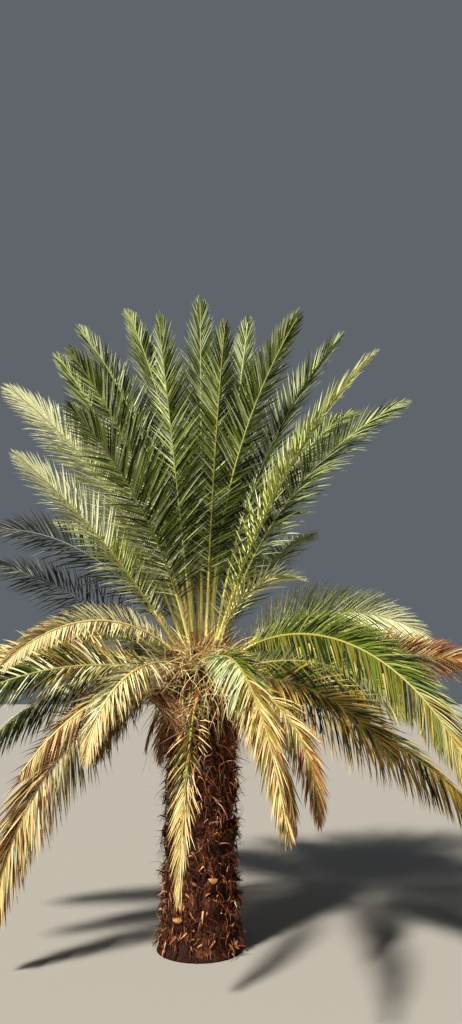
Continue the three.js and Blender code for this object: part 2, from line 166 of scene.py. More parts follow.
# How unevenly leaflets grow. Place is in steps from one to the next, uneven goes into angle and
# raised, turn is about the blade, and dry is the play of where the dry part of a frond begins.
PLAY = SimpleNamespace(
    place=0.25, uneven=1.6, angle=1.6, raised=2, length=(0.9, 1.03), width=(0.85, 1.1), turn=14,
    ragged_turn=6, fold=8, sag=(0.4, 1.6), twist=12, dry=0.12)

# A leaflet's outline: the share of its full width at each share of its length, ending in a point,
# and the stations between which a tip of another colour begins: a dried tip in the dry tints, a
# painted highlight in the green and silver tints
BLADE_AT = np.array([0, 0.1, 0.32, 0.58, 0.82, 1.0])
BLADE_WIDE = np.array([0.5, 0.85, 1.0, 0.82, 0.46])
DRY_AND_GLINT_TIP_FROM = (2, 5)

# Plain colours, 0 to 255 as a screen shows them
COLOURS = {
    # leaf_deep: the leaflets' own dark green, made darker as painted shade for the dark gaps deep in the
    # crown
    "leaf_deep": (34, 42, 5),
    "leaf_green": (88, 104, 24),
    "leaf_fresh": (142, 154, 74),
    # leaf_grey: the leaflets' own glaucous grey-green, made paler as painted glints of the sun; it also
    # colours the pale tips of the green tints
    "leaf_grey": (176, 184, 138),
    "leaf_olive": (110, 104, 30),
    "leaf_lime": (164, 170, 86),
    "leaf_khaki": (172, 160, 96),
    # leaf_silver: a pale glaucous green, made paler as a painted sheen of the sun
    "leaf_silver": (216, 218, 178),
    "leaf_pale": (212, 202, 150),
    "leaf_cream": (240, 228, 172),
    # leaf_shade: painted shade, a near-black green for fronds that are dark only because they lie in shade
    "leaf_shade": (27, 34, 14),
    "leaf_straw": (216, 186, 130),
    "leaf_gold": (168, 136, 62),
    # leaf_amber: a golden colour made brighter as painted light, for sun that shines through backlit
    # leaflets
    "leaf_amber": (208, 172, 84),
    "leaf_rust": (158, 94, 44),
    "leaf_brown": (112, 74, 42),
    "rib_green": (156, 158, 78),
    "rib_olive": (144, 138, 62),
    "rib_straw": (206, 184, 112),
    # rib_shade: painted shade, the rib of those fronds that lie in shade
    "rib_shade": (46, 47, 24),
    "rib_brown": (112, 70, 42),
    "stalk": (246, 238, 138),
    "stalk_tan": (172, 124, 76),
    "foot_red": (118, 70, 42),
}

# Strands and splinters: colour, least and greatest roughness
STRANDS = {
    "strand_dark": ((44, 22, 14), (0.7, 0.9)),
    "strand_red": ((96, 46, 26), (0.7, 0.9)),
    "strand_tan": ((160, 106, 66), (0.7, 0.9)),
    "splinter": ((198, 148, 116), (0.6, 0.85)),
}

# Barks: dark, middle and light colour, how fine the grain is, and the roughness
BARKS = {
    "shaft": ((16, 8, 5), (38, 19, 12), (74, 40, 26), 60, 0.9),
    "boot": ((22, 11, 7), (58, 29, 18), (112, 66, 42), 70, 0.85),
    "boot_cut": ((110, 66, 38), (168, 118, 72), (214, 168, 116), 90, 0.8),
}
BARK_GRAIN = SimpleNamespace(
    stretch=(1, 1, 0.18), detail=8, roughness=0.65, patches=8, patch_detail=3, patch_share=0.55,
    ramp=(0.58, 0.78, 0.98), relief=0.7, relief_height=0.006)

# How much the surfaces shine, dry ones and living ones, how rough leaves are, and how fine the
# noise is that their roughness follows
MATT = 0.15
WAXY = 0.4
LEAF_ROUGHNESS = (0.38, 0.55)
LEAF_GRAIN = 30
STRAND_GRAIN = 40


def leaf_colours(words):
    return ["leaf_" + word for word in words.split()]


def tint_of(blades, rib, tip, share, dry, dry_from, other_blades=None, apart=1):
    """One tint, with the names of its colours in full."""
    return SimpleNamespace(
        blades=leaf_colours(blades), other_blades=leaf_colours(other_blades or blades), rib="rib_" + rib,
        tip="leaf_" + tip, share=share, dry=leaf_colours(dry), dry_from=dry_from, apart=apart)


# Tints of whole fronds: the colours of the leaflets, that of the rib, that of the leaflets' tips
# and on what share of the leaflets, the colours that leaflets take farther out, which in some
# tints are green ones, and from what share of the row on. The tips are dried ones in the dry
# tints, while the pale grey and silver tips of the green and silver tints are painted highlights,
# glints of the sun. Other_blades are for the leaflets at the other side, where they differ, and
# apart is how much farther apart they stand. In turning the other side is silver as a painted
# sheen of the sun on that side.
TINTS = {
    # deep, green, bright and grey: the grey leaflets and the pale grey tips are partly painted glints of
    # the sun
    "deep": tint_of("deep green green grey", "green", "grey", 0.2, "green", 1.1),
    "green": tint_of("green fresh deep grey", "green", "grey", 0.2, "grey", 1.1),
    "bright": tint_of("fresh green grey deep", "olive", "grey", 0.1, "lime", 1.1),
    "grey": tint_of("grey green deep", "green", "grey", 0.02, "grey", 1.1),
    # olive and bronze: their deep leaflets, more of them on the other side in olive, are partly painted
    # shade for leaflets in shade
    "olive": tint_of(
        "green deep green fresh", "olive", "khaki", 0.06, "olive khaki green gold", 0.75,
        other_blades="green deep olive deep olive"),
    # bronze: its amber leaflets and tips are partly painted light shining through them from behind
    "bronze": tint_of(
        "olive green deep gold", "olive", "amber", 0.3, "amber gold olive deep", 0.65,
        other_blades="olive gold deep amber olive"),
    "lime": tint_of("lime fresh lime", "olive", "silver", 0.2, "lime silver", 0.75),
    # silver: a pale glaucous tint that is partly painted sheen, for fronds brightly lit by the sun
    "silver": tint_of("silver lime grey", "olive", "silver", 0.1, "silver", 0.6),
    "pale": tint_of(
        "pale cream olive pale brown", "straw", "straw", 0.2, "pale straw", 0.7,
        other_blades="cream silver cream olive"),
    # shade: painted shade, near-black leaflets and rib for fronds that lie in shade, whose leaflets also
    # stand farther apart
    "shade": tint_of("shade", "shade", "shade", 0, "shade", 1.1, apart=1.7),
    "light": tint_of("silver lime cream", "olive", "silver", 0.2, "silver lime", 0.6),
    # turning: the silver and grey leaflets of the other side are a painted sheen of the sun on that side
    "turning": tint_of(
        "green deep green", "olive", "fresh", 0.15, "straw brown straw brown gold olive", 0.42,
        other_blades="silver silver grey green"),
    "faded": tint_of("olive brown deep", "olive", "straw", 0.4, "straw khaki pale", 0.45),
    "straw": tint_of("straw olive gold", "straw", "brown", 0.5, "straw gold brown brown rust", 0.4),
    "withered": tint_of("brown olive khaki", "straw", "brown", 0.4, "straw khaki straw brown", 0.4),
    "mottled": tint_of(
        "olive deep khaki brown silver", "olive", "olive", 0.3, "green deep deep silver", 0.35),
    "gold": tint_of("gold olive straw", "olive", "rust", 0.5, "rust gold straw", 0.6),
    "dead": tint_of("brown rust brown", "brown", "brown", 0.5, "brown", 1.1),
}

# Fronds by age, by the same rule as the solids. Bend is how much farther a frond leans at its tip
# than at its foot, power where along it that comes, and bare the share of it without leaflets.
# Leaflet is their full length, angles are theirs to the rib, and droop is how far they hang, from
# the first to the last. Spacing and width are those of single leaflets, sag is how far one bends
# down, fold how far its halves are turned up, tousled how far the ranks leave the frond's plane,
# and ragged how unevenly they stand. Spine is the shortest and the longest spine and how far apart
# they are. Spread and size multiply the leaflets' angles and lengths: in the first and the third
# hanging frond they are wider and shorter than in the solids. Fill is for the fronds of the crown's
# back, at seeded places.
ROW = ["azimuth", "lean", "bend", "length", "roll", "spread", "size", "tint"]
TIERS = [
    SimpleNamespace(
        name="upright_frond", power=1.3, bare=0.2, leaflet=0.43, angles=(62, 26), droop=(0, 0),
        spacing=0.0145, width=0.024, sag=0.1, fold=40, tousled=1, ragged=1, spine=(0.035, 0.15, 0.04),
        rows=[
            (232, 10, 1, 3.25, 0, 1, 1, "green"),
            (292, 5, 9, 3.15, 0, 1, 1, "bright"),
            (100, 2, 6, 3.85, 0, 1, 1, "deep"),
            (328, 3, 34, 3.4, -30, 1, 1, "green"),
            (350, 9, 31, 3.45, 50, 1, 1, "grey"),
            (62, 13, 0, 4.0, 15, 1, 1, "deep"),
            (138, 6, 24, 4.15, -20, 1, 1, "green"),
            (166, 8, 29, 3.8, -40, 1, 1, "grey"),
            (158, 18, 20, 3.8, -45, 1, 1, "green"),
            (212, 13, 29, 3.1, 40, 1, 1, "bright"),
        ],
        fill=SimpleNamespace(
            count=3, start=72, end=128, lean=22, bend=18, length=3.4,
            tints=["green", "bright", "grey"]),
    ),
    SimpleNamespace(
        name="spreading_frond", power=1.3, bare=0.2, leaflet=0.43, angles=(62, 28), droop=(0.05, 0.15),
        spacing=0.015, width=0.024, sag=0.2, fold=40, tousled=1, ragged=1.2, spine=(0.06, 0.22, 0.03),
        rows=[
            (311, 25, 35, 3.2, 45, 1, 1, "lime"),
            (2, 17, 46, 3.35, 50, 1, 1, "green"),
            (40, 19, 40, 3.85, 35, 1, 1, "green"),
            (230, 20, 40, 2.65, 30, 1, 1, "bright"),
            (188, 20, 34, 3.25, -70, 1, 1, "silver"),
            (206, 34, 20, 2.5, -60, 1, 1, "silver"),
            # Two fronds in painted shade: coloured near-black for the shade they lie in
            (165, 33, 59, 2.85, -60, 1, 1, "shade"),
            (153, 56, 19, 2.85, -60, 1, 1, "shade"),
            (331, 17, 84, 1.25, 0, 1, 1, "light"),
        ],
        fill=SimpleNamespace(
            count=5, start=45, end=150, lean=38, bend=36, length=2.9,
            tints=["bright", "green", "lime", "olive"]),
    ),
    SimpleNamespace(
        name="arching_frond", power=1, bare=0.16, leaflet=0.48, angles=(60, 38), droop=(0.05, 0.25),
        spacing=0.0095, width=0.023, sag=0.3, fold=38, tousled=0.5, ragged=1.4, spine=(0.1, 0.3, 0.018),
        rows=[
            (222, 45, 89, 2.05, -60, 1, 0.5, "pale"),
            (313, 56, 102, 3.2, 60, 0.8, 0.9, "olive"),
            (338, 78, 70, 1.8, 30, 1, 1, "bronze"),
            (20, 46, 73, 2.6, 55, 1, 1, "silver"),
            (8, 74, 26, 2.75, 45, 1, 1, "gold"),
            (180, 66, 60, 2.65, -30, 1, 1, "faded"),
            (352, 65, 74, 1.9, 50, 1, 1, "olive"),
            (200, 72, 58, 2.5, -45, 1, 0.9, "mottled"),
        ],
        fill=SimpleNamespace(
            count=5, start=38, end=144, lean=62, bend=56, length=2.6,
            tints=["lime", "pale", "olive", "faded"]),
    ),
    SimpleNamespace(
        name="hanging_frond", power=0.75, bare=0.14, leaflet=0.38, angles=(52, 22), droop=(0.2, 0.85),
        spacing=0.0105, width=0.019, sag=0.6, fold=36, tousled=1, ragged=2.8, spine=(0.1, 0.28, 0.02),
        rows=[
            (226, 55, 117, 1.55, -35, 1.6, 0.85, "pale"),
            (204, 90, 88, 2.7, -60, 1.4, 1.4, "withered"),
            (266, 100, 69, 2.0, 50, 1.6, 0.8, "faded"),
            # This frond's silver side is a painted sheen of the sun
            (284, 60, 91, 2.85, 20, 1, 1, "turning"),
            (304, 83, 88, 1.75, 0, 0.6, 1, "straw"),
            (321, 78, 102, 1.75, 30, 1.2, 1, "gold"),
            (190, 70, 68, 1.95, -45, 1, 1.2, "mottled"),
            (345, 90, 44, 2.6, 50, 1.3, 1.35, "bronze"),
            (214, 78, 66, 1.75, -40, 1, 1, "withered"),
        ],
        fill=SimpleNamespace(
            count=4, start=22, end=164, lean=82, bend=74, length=1.4,
            tints=["faded", "straw", "gold", "straw"]),
    ),
    SimpleNamespace(
        name="dead_frond", power=0.75, bare=0.2, leaflet=0.21, angles=(40, 24), droop=(0.8, 0.8),
        spacing=0.012, width=0.014, sag=0.8, fold=52, tousled=1, ragged=3, spine=(0.03, 0.1, 0.04),
        rows=[
            (174, 125, 48, 0.6, 0, 1, 1, "dead"),
            (350, 108, 66, 0.9, 0, 1, 1, "dead"),
        ],
        fill=SimpleNamespace(count=1, start=60, end=120, lean=108, bend=64, length=0.9, tints=["dead"]),
    ),
]
FILL_PLAY = SimpleNamespace(azimuth=4, lean=5, bend=6, length=0.18)

# Fibre on the trunk. A row is how many strands, the heights between which they start, their least
# and greatest length and width, how far their feet stand out, their sag, curl and rise.
FIBRE = [
    (3600, 0.03, 2.1, 0.05, 0.17, 0.002, 0.005, 0.035, 2.0, 0.4, -0.2),
    (1100, 0.05, 2.2, 0.05, 0.13, 0.012, 0.03, 0.03, 2.4, 0.25, -0.2),
    (1500, 1.85, 2.4, 0.08, 0.26, 0.003, 0.007, 0.05, 2.6, 0.3, -0.2),
    (420, 2.0, 2.42, 0.3, 0.62, 0.004, 0.01, 0.06, 5.0, 0.08, -0.2),
    (360, 2.2, 2.58, 0.05, 0.18, 0.004, 0.012, 0.02, 1.2, 0.25, -0.2),
]
FIBRE_COLOURS = ["strand_dark", "strand_dark", "strand_red", "strand_red", "strand_tan"]

# Weathered splinters of leaf bases, in the same form
SPLINTERS = [
    (900, 0.05, 2.2, 0.03, 0.1, 0.006, 0.02, 0.05, 0.6, 0.15, -0.2),
    (500, 1.3, 2.35, 0.08, 0.24, 0.004, 0.012, 0.06, 1.6, 0.15, -0.2),
]
SPLINTER_COLOURS = ["strand_red", "strand_tan", "splinter"]

# Dry leaflets caught in the crown's base, in the same form
TANGLE = [
    (520, 2.16, 2.56, 0.16, 0.46, 0.008, 0.016, 0.12, 1.4, 0.05, 0),
    (260, 2.1, 2.4, 0.2, 0.42, 0.008, 0.016, 0.12, 4.0, 0.06, -0.2),
    (420, 2.4, 2.66, 0.2, 0.5, 0.008, 0.016, 0.12, 1.0, 0.04, 0.2),
    (560, 2.38, 2.7, 0.16, 0.45, 0.007, 0.014, 0.1, 0.2, 0.03, 0.9),
]
TANGLE_COLOURS = [
    "leaf_cream", "leaf_straw", "leaf_pale", "leaf_straw", "stalk_tan", "leaf_khaki", "leaf_brown"]

# How strands vary: the way that they set out, what they take of their row's sag, and how far they
# keep off the ground
STRAND = SimpleNamespace(
    steps=6, narrows=0.8, outward=(0.1, 0.8), sideways=0.8, up=0.6, sag=(0.4, 1.4), ground=0.01)

# The fringe of fibre on the ragged tops of the leaf bases
FRINGE = SimpleNamespace(
    strands=3, scatter=0.006, lowest=0.12, outward=0.6, up=(0.2, 1.2), stray=0.35, length=(0.02, 0.1),
    width=(0.003, 0.008), sag=(0.5, 3), curl=0.3)

# The withered flower stalk at the left of the trunk: its foot, the end of its stem, and the
# lowest point of the bunch of dry strings that hangs from it
BRUSH = SimpleNamespace(
    foot=(-0.2, -0.16, 2.3), end=(-0.47, -0.3, 2.2), low=(-0.08, -0.4, 1.88), strings=420,
    from_stem=(0.2, 1), towards_end=0.7, scatter=0.014, low_scatter=0.045, length=(0.45, 1.0),
    width=(0.004, 0.009), rise=0.05, sag=0.3, curl=0.05,
    colours=["strand_red", "leaf_brown", "strand_tan", "rib_brown", "stalk_tan", "leaf_straw"])

# The photograph's view: the camera stands 7.6 m in front of the palm and looks 12 degrees up
IMAGE_HEIGHT = 1024
CAMERA_PLACE = (0.28, -7.6, 2.4)
CAMERA_PITCH = 12
CAMERA_FOCAL_PIXELS = 770
SENSOR = 36

# The floor, the faint light of the sky, and a sun at the upper left whose shadows have soft edges
FLOOR_HALF = 60
FLOOR_COLOUR = (146, 143, 138)
FLOOR_ROUGHNESS = (0.85, 0.95)
FLOOR_GRAIN = 2
SKY_COLOUR = (0.78, 0.87, 1, 1)
SKY_STRENGTH = 0.15
SUN_STRENGTH = 7.6
SUN_SPREAD = 7
SUN_COLOUR = (1, 0.95, 0.84)
SUN_TURN = (42, 0, -38)


def mix(low, high, share):
    return low + (high - low) * share


def wander(rng, size, count=None):
    """Even random numbers from -size to size."""
    return rng.uniform(-size, size, count)


def unit(vectors):
    return vectors / np.linalg.norm(vectors, axis=-1, keepdims=True)


def turned(vectors, axes, angles):
    """The vectors turned about unit axes that stand at right angles to them."""
    angles = np.asarray(angles)[..., None]
    return vectors * np.cos(angles) + np.cross(axes, vectors) * np.sin(angles)


def even_numbers(seed):
    """The solids' generator of even numbers in [0, 1)."""
    state = seed
    while True:
        state = (state * 1664525 + 1013904223) % 2**32
        yield state / 2**32


def trunk_radius(z):
    share = np.clip((CROWN_TOP - z) / CROWN_DROP, 0, 1)
    crown = CROWN_HEART + CROWN_REACH * np.sqrt(share) - HEART_SINK
    return np.where(z <= TRUNK_HEIGHTS[-1], np.interp(z, TRUNK_HEIGHTS, TRUNK_RADII), crown)


def foot_of(azimuth, lean):
    """Where a frond of this azimuth and lean leaves the cone of the crown."""
    share = min(lean / OLDEST_LEAN, 1)
    radius = CROWN_HEART + CROWN_REACH * math.sqrt(share)
    turn = math.radians(azimuth)
    return np.array([radius * math.cos(turn), radius * math.sin(turn), CROWN_TOP - CROWN_DROP * share])


def along_at(frond, share):
    """The way that a frond points at these shares of its length."""
    turn = math.radians(frond.azimuth)
    outward = np.array([math.cos(turn), math.sin(turn), 0])
    lean = np.radians(frond.lean + frond.bend * share**frond.power)[..., None]
    return outward * np.sin(lean) + UP * np.cos(lean)


def list_fronds():
    """Every frond of the solids, with the middle line of its rib."""
    numbers = even_numbers(SEED)

    def play(size):
        return (2 * next(numbers) - 1) * size

    fronds = []
    for tier in TIERS:
        rows = list(tier.rows)
        fill = tier.fill
        for i in range(fill.count):
            azimuth = mix(fill.start, fill.end, (i + 0.5) / fill.count) + play(FILL_PLAY.azimuth)
            lean = fill.lean + play(FILL_PLAY.lean)
            bend = fill.bend + play(FILL_PLAY.bend)
            length = fill.length + play(FILL_PLAY.length)
            rows.append((azimuth, lean, bend, length, 0, 1, 1, fill.tints[i % len(fill.tints)]))
        for row in rows:
            frond = SimpleNamespace(**vars(tier), **dict(zip(ROW, row)))
            frond.age = min(1, frond.lean / OLDEST_LEAN)
            shares = np.linspace(0, 1, RIB_STEPS + 1)
            steps = along_at(frond, (shares[1:] + shares[:-1]) / 2) * frond.length / RIB_STEPS
            way = np.vstack([np.zeros(3), np.cumsum(steps, axis=0)])
            frond.line = foot_of(frond.azimuth, frond.lean) + way
            fronds.append(frond)
    return fronds


def stations_of(frond, share):
    """Points of the rib at these shares of its length, with its directions and its half width."""
    share = np.asarray(share, float)
    shares = np.linspace(0, 1, RIB_STEPS + 1)
    point = np.stack([np.interp(share, shares, frond.line[:, k]) for k in range(3)], axis=-1)
    along = along_at(frond, share)
    turn = math.radians(frond.azimuth)
    level = np.broadcast_to([-math.sin(turn), math.cos(turn), 0.0], along.shape)
    side = turned(level, along, np.radians(frond.roll) * np.minimum(1, share / ROLLED_BY))
    slim = share**SLIMMING
    return SimpleNamespace(
        point=point,
        along=along,
        side=side,
        upper=np.cross(along, side),
        half=mix(*RIB_WIDTHS, slim) / 2,
        height=mix(*RIB_HEIGHTS, slim),
    )


class Pile:
    """Points and faces of many small things, with a colour for each face, for one joined mesh."""

    def __init__(self):
        self.points, self.faces, self.colours = [], [], []
        self.count = 0

    def add(self, points, faces, colours):
        """Copies of one thing: points by copy, and the faces of one copy. Colours has an entry for
        each of those faces: one name for all copies, or a list with a name for each."""
        copies, corners = points.shape[:2]
        self.points.append(points.reshape(-1, 3))
        starts = self.count + np.arange(copies) * corners
        for face, names in zip(faces, colours):
            self.faces.extend((starts[:, None] + np.array(face)).tolist())
            self.colours.extend([names] * copies if isinstance(names, str) else names)
        self.count += copies * corners

    def object(self, name, slot, smooth=True):
        mesh = bpy.data.meshes.new(name)
        mesh.from_pydata(np.concatenate(self.points), [], self.faces)
        used = sorted(set(self.colours))
        for colour in used:
            mesh.materials.append(MATERIALS[colour])
        places = {colour: i for i, colour in enumerate(used)}
        mesh.polygons.foreach_set("material_index", [places[colour] for colour in self.colours])
        mesh.polygons.foreach_set("use_smooth", [smooth] * len(self.faces))
        mesh.update()
        piece = bpy.data.objects.new(name, mesh)
        bpy.context.collection.objects.link(piece)
        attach(piece, "root")
        return piece


def ring_faces(rings, sides):
    """The faces between rings of points that follow one another."""
    faces = []
    for start in range(0, (rings - 1) * sides, sides):
        for k in range(sides):
            a, b = start + k, start + (k + 1) % sides
            faces.append((a, b, b + sides, a + sides))
    return faces


def flat_topped(flat):
    """A ring round a stalk, across and up: rounded below, and flatter by this share on top."""
    turn = np.linspace(0, 2 * math.pi, RIB_SIDES, endpoint=False)
    over = np.sin(turn)
    return np.cos(turn), np.where(over > 0, flat * over, over)


def blade_faces():
    """Faces of one leaflet, two folded halves up to its pointed tip, and the station of each."""
    faces, stations = [], []
    last = len(BLADE_WIDE) - 1
    for i in range(last):
        a, b = 3 * i, 3 * i + 3
        faces += [(a, a + 1, b + 1, b), (a + 1, a + 2, b + 2, b + 1)]
        stations += [i, i]
    a, tip = 3 * last, 3 * last + 3
    faces += [(a, a + 1, tip), (a + 1, a + 2, tip)]
    return faces, stations + [last, last]


def leaflet_length(frond, along):
    """The length of leaflets at these shares of their row, before any play."""
    rise = mix(LEAFLET_FIRST, 1, np.minimum(1, along / LEAFLET_FULL_FROM))
    beyond = np.maximum(0, (along - LEAFLET_FULL_TO) / (1 - LEAFLET_FULL_TO))
    return frond.leaflet * frond.size * rise * mix(1, LEAFLET_LAST, beyond**LEAFLET_WANING)


def blade_points(foot, direction, width_way, length, width, fold, sag, twist):
    """Points of leaflets by copy: left edge, middle and right edge at each station, then the tip."""
    copies = len(foot)
    middle = foot
    left_middle_right = []
    for i, share in enumerate(BLADE_AT):
        if i > 0:
            half_way = (share + BLADE_AT[i - 1]) / 2
            now = unit(direction - UP * (sag * half_way)[:, None])
            middle = middle + now * (length * (share - BLADE_AT[i - 1]))[:, None]
        if i == len(BLADE_AT) - 1:
            break
        now = unit(direction - UP * (sag * share)[:, None])
        across = unit(width_way - now * np.sum(width_way * now, axis=1, keepdims=True))
        across = turned(across, now, twist * share)
        over = np.cross(now, across)
        half = (width * BLADE_WIDE[i] / 2)[:, None]
        rise = over * half * np.sin(fold)[:, None]
        left_middle_right += [
            middle + across * half * np.cos(fold)[:, None] + rise,
            middle,
            middle - across * half * np.cos(fold)[:, None] + rise,
        ]
    return np.stack(left_middle_right + [middle], axis=1).reshape(copies, -1, 3)


def clear_of_trunk(points):
    """True for each leaflet that keeps out of the trunk and off the ground."""
    height = points[..., 2]
    lip = np.where(height < BOOTS_TO + 2 * BOOT_PITCH, BOOT_LIP, 0)
    limit = trunk_radius(height) + lip + TRUNK_CLEARANCE
    reach = np.hypot(points[..., 0], points[..., 1])
    inside = (height < CROWN_TOP) & (reach < limit)
    return ~np.any(inside | (height < GROUND_CLEARANCE), axis=1)


def leaflet_directions(frond, rib, along, hand, rng):
    """The way that each leaflet of a row sets out, and its angle to the rib."""
    count = len(along)
    unevenness = rng.normal(0, PLAY.uneven * frond.ragged, (2, count))
    near_tip = np.clip((along - CLOSES_FROM) / (1 - CLOSES_FROM), 0, 1)
    spread = frond.spread * (1 - CLOSES_BY * near_tip)
    angle = np.radians(mix(*frond.angles, along) * spread + PLAY.angle * unevenness[0])
    rank = np.take(RANKS, np.arange(count) % len(RANKS))
    rank = rank * frond.tousled * (1 - RANKS_FLATTEN * along)
    raised = np.radians(RAISE + rank + PLAY.raised * unevenness[1])
    across = rib.side * (hand * np.cos(raised))[:, None] + rib.upper * np.sin(raised)[:, None]
    fan = rib.along * np.cos(angle)[:, None] + across * np.sin(angle)[:, None]
    return unit(fan - UP * mix(*frond.droop, along)[:, None]), angle


def turned_width(rib, direction, degrees):
    """The way across each blade: along the rib, but square to the blade, and turned about it."""
    across = rib.along - direction * np.sum(rib.along * direction, axis=1, keepdims=True)
    return turned(unit(across), direction, np.radians(degrees))


def leaflet_colours(tint, blades, along, stations, rng):
    """For each face of a leaflet, its colour in all the leaflets at these shares of their row."""
    copies = len(along)
    is_dry = along + wander(rng, PLAY.dry, copies) > tint.dry_from
    chosen = np.where(is_dry, rng.choice(tint.dry, copies), rng.choice(blades, copies))
    # Tips of the tint's tip colour: dried tips in the dry tints, a painted highlight in the green and
    # silver tints
    dry_and_glint_tip = rng.uniform(0, 1, copies) < tint.share
    from_station = rng.integers(*DRY_AND_GLINT_TIP_FROM, copies)
    return [np.where(dry_and_glint_tip & (at >= from_station), tint.tip, chosen).tolist() for at in stations]


def add_leaflets(pile, frond, rng):
    """Both rows of leaflets on one frond."""
    tint = TINTS[frond.tint]
    count = round(frond.length * (1 - frond.bare) / frond.spacing / tint.apart)
    faces, stations = blade_faces()
    for hand, blades in ((1, tint.blades), (-1, tint.other_blades)):
        even = (np.arange(count) + 0.5 + wander(rng, PLAY.place, count)) / count
        along = np.clip(even * (1 + CROWDING * (1 - even)), 0, 1)
        share = frond.bare + along * (1 - frond.bare)
        rib = stations_of(frond, share)
        direction, angle = leaflet_directions(frond, rib, along, hand, rng)
        length = leaflet_length(frond, along) * rng.uniform(*PLAY.length, count)
        to_tip = (1 - share) * frond.length * POINTED + OVERHANG
        length = np.minimum(length, to_tip / np.maximum(np.cos(angle), LEAST_FORWARD))
        beside = rib.side * (hand * rib.half * SEAT_ACROSS)[:, None]
        foot = rib.point + beside - rib.upper * (rib.height * SEAT_BELOW)[:, None]
        narrow = np.clip(length / frond.leaflet, NARROWEST, 1)
        width = frond.width * narrow * rng.uniform(*PLAY.width, count)
        degrees = rng.normal(0, PLAY.turn + PLAY.ragged_turn * frond.ragged, count)
        across = turned_width(rib, direction, degrees)
        fold = np.radians(frond.fold + wander(rng, PLAY.fold, count))
        sag = frond.sag * rng.uniform(*PLAY.sag, count)
        twist = np.radians(rng.normal(0, PLAY.twist * frond.ragged, count))
        points = blade_points(foot, direction, across, length, width, fold, sag, twist)
        keep = clear_of_trunk(points)
        pile.add(points[keep], faces, leaflet_colours(tint, blades, along[keep], stations, rng))


def add_rib(pile, frond, rng):
    """The stalk and rib, flat on top and rounded below, widening where it clasps the trunk."""
    colour = TINTS[frond.tint].rib
    share = np.concatenate([[0], np.linspace(*RIB_ENDS, RIB_STATIONS - 1) ** RIB_CROWDING])
    rib = stations_of(frond, share)
    widening = mix(*FOOT_FLARES, frond.age) - 1
    flare = 1 + widening * np.clip(1 - share * frond.length / FOOT_LENGTH, 0, 1) ** 2
    across, over = flat_topped(RIB_FLAT)
    points = (
        rib.point[:, None]
        + rib.side[:, None] * (across * (rib.half * flare)[:, None])[..., None]
        + rib.upper[:, None] * (over * (rib.height * flare**0.5)[:, None])[..., None]
    )
    tip = stations_of(frond, np.array([1.0])).point
    points = np.vstack([points.reshape(-1, 3), tip])
    red_until = mix(*RED_FOOT, frond.age) * rng.uniform(*RED_PLAY) / frond.length
    tan_until = red_until + mix(*TAN_FOOT, frond.age) * rng.uniform(*TAN_PLAY) / frond.length
    colours = []
    for at in share[:-1]:
        if at < red_until:
            name = "foot_red"
        elif at < tan_until:
            name = "stalk_tan"
        elif at < frond.bare * STALK_PAST_BARE and frond.tint != "dead":
            name = "stalk"
        else:
            name = colour
        colours += [name] * RIB_SIDES
    start = (RIB_STATIONS - 1) * RIB_SIDES
    point_faces = [(start + k, start + (k + 1) % RIB_SIDES, len(points) - 1) for k in range(RIB_SIDES)]
    faces = ring_faces(RIB_STATIONS, RIB_SIDES) + point_faces + [tuple(reversed(range(RIB_SIDES)))]
    pile.add(points[None], faces, colours + [colour] * RIB_SIDES + ["foot_red"])


def add_spines(pile, frond, rng):
    """Stiff spines on the bare stalk, which lengthen towards the first leaflets."""
    first = SPINES.start / frond.length
    short, long, apart = frond.spine
    count = max(0, int((frond.bare - first) * frond.length / apart))
    for hand in (1, -1):
        share = np.linspace(first, frond.bare, count) + wander(rng, SPINES.place, count)
        rib = stations_of(frond, share)
        size = mix(short, long, np.linspace(0, 1, count)) * rng.uniform(*SPINES.size, count)
        angle = np.radians(rng.uniform(*SPINES.angle, count))
        lift = np.radians(rng.uniform(*SPINES.lift, count))
        out = rib.side * (hand * np.cos(lift))[:, None] + rib.upper * np.sin(lift)[:, None]
        direction = rib.along * np.cos(angle)[:, None] + out * np.sin(angle)[:, None]
        foot = rib.point + rib.side * (hand * rib.half * SEAT_ACROSS)[:, None] - rib.upper * SPINES.sunk
        thick = np.minimum(SPINES.thick + SPINES.thickening * size, SPINES.thickest)[:, None]
        points = np.stack(
            [
                foot + rib.along * thick,
                foot - rib.along * thick,
                foot + np.cross(out, rib.along) * thick,
                foot + direction * size[:, None],
            ],
            axis=1,
        )
        chosen = rng.choice([TINTS[frond.tint].rib, "leaf_straw"], count).tolist()
        pile.add(points, [(0, 1, 3), (1, 2, 3), (2, 0, 3)], [chosen] * 3)


def screen_colour(colour):
    """The linear colour of a colour as a screen shows it."""
    shares = np.array(colour) / 255
    linear = np.where(shares <= 0.04045, shares / 12.92, ((shares + 0.055) / 1.055) ** 2.4)
    return (*linear.tolist(), 1)


def new_material(name, gloss):
    material = bpy.data.materials.new(name)
    material.use_nodes = True
    nodes, links = material.node_tree.nodes, material.node_tree.links
    shader = nodes["Principled BSDF"]
    shader.inputs["Specular IOR Level"].default_value = gloss
    return material, nodes, links, shader


def add_node(nodes, kind, **inputs):
    """A shader node with these inputs. An underscore stands for the space in an input's name."""
    node = nodes.new(kind)
    for name, value in inputs.items():
        node.inputs[name.replace("_", " ")].default_value = value
    return node


def plain_material(name, colour, roughness, grain, gloss=MATT):
    """A plain base colour, with a roughness that wanders between two values."""
    material, nodes, links, shader = new_material(name, gloss)
    shader.inputs["Base Color"].default_value = screen_colour(colour)
    low, high = roughness
    noise = add_node(nodes, "ShaderNodeTexNoise", Scale=grain, Detail=2)
    spread = add_node(nodes, "ShaderNodeMapRange", To_Min=low, To_Max=high)
    links.new(noise.outputs["Fac"], spread.inputs["Value"])
    links.new(spread.outputs["Result"], shader.inputs["Roughness"])
    return material


